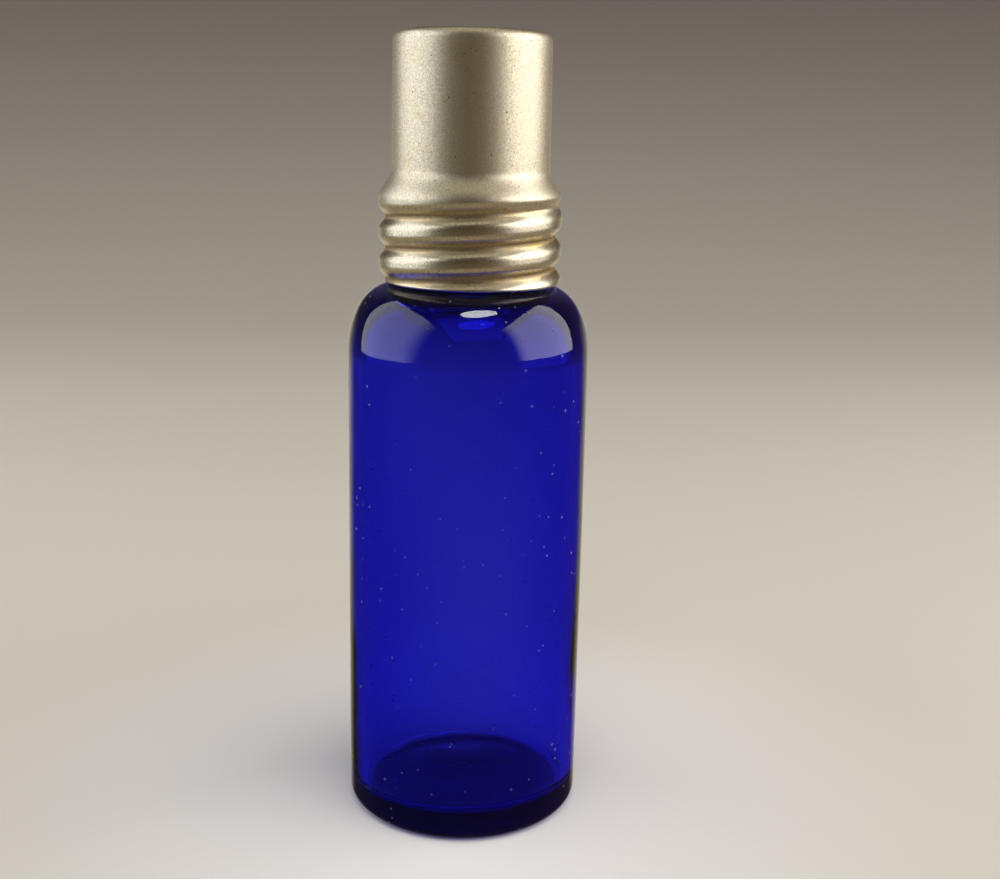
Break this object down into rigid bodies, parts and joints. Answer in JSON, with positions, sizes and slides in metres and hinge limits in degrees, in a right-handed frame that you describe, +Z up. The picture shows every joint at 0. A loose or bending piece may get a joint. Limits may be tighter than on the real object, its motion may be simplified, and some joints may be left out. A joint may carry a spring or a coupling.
{
  "type": "aftershave bottle",
  "caption": "Small cylindrical blue glass aftershave bottle with a threaded neck and a tall flared metal screw cap lined with a foil-faced cork wad.",
  "frame": {"origin": "centre of the resting plane under the base", "axes": "+Z up the bottle's axis to the cap's flat top; the object is round, and +X is only where the thread's phase is counted from"},
  "size_m": [0.0254, 0.0254, 0.0829],
  "materials": {
    "blue_glass": "polished",
    "satin_metal": "satin",
    "foil": "satin",
    "cork": "matte"
  },
  "bodies": {
    "bottle": {"glass_bottle": "blue_glass"},
    "liner": {"cork_wad": "cork", "liner_facing": "foil"},
    "cap": {"cap_shell": "satin_metal"}
  },
  "joints": [
    {"name": "cap_lift", "type": "slide", "parent": "bottle", "child": "liner", "axis": [0, 0, 1], "range_m": [0, 0.01271]},
    {"name": "cap_turn", "type": "hinge", "parent": "liner", "child": "cap", "pos_m": [0, 0, 0.0658], "axis": [0, 0, 1], "range_deg": [0, 1440]}
  ],
  "couplings": [
    {"joint": "cap_lift", "follows": "cap_turn", "m_per_rad": 0.00050531}
  ]
}
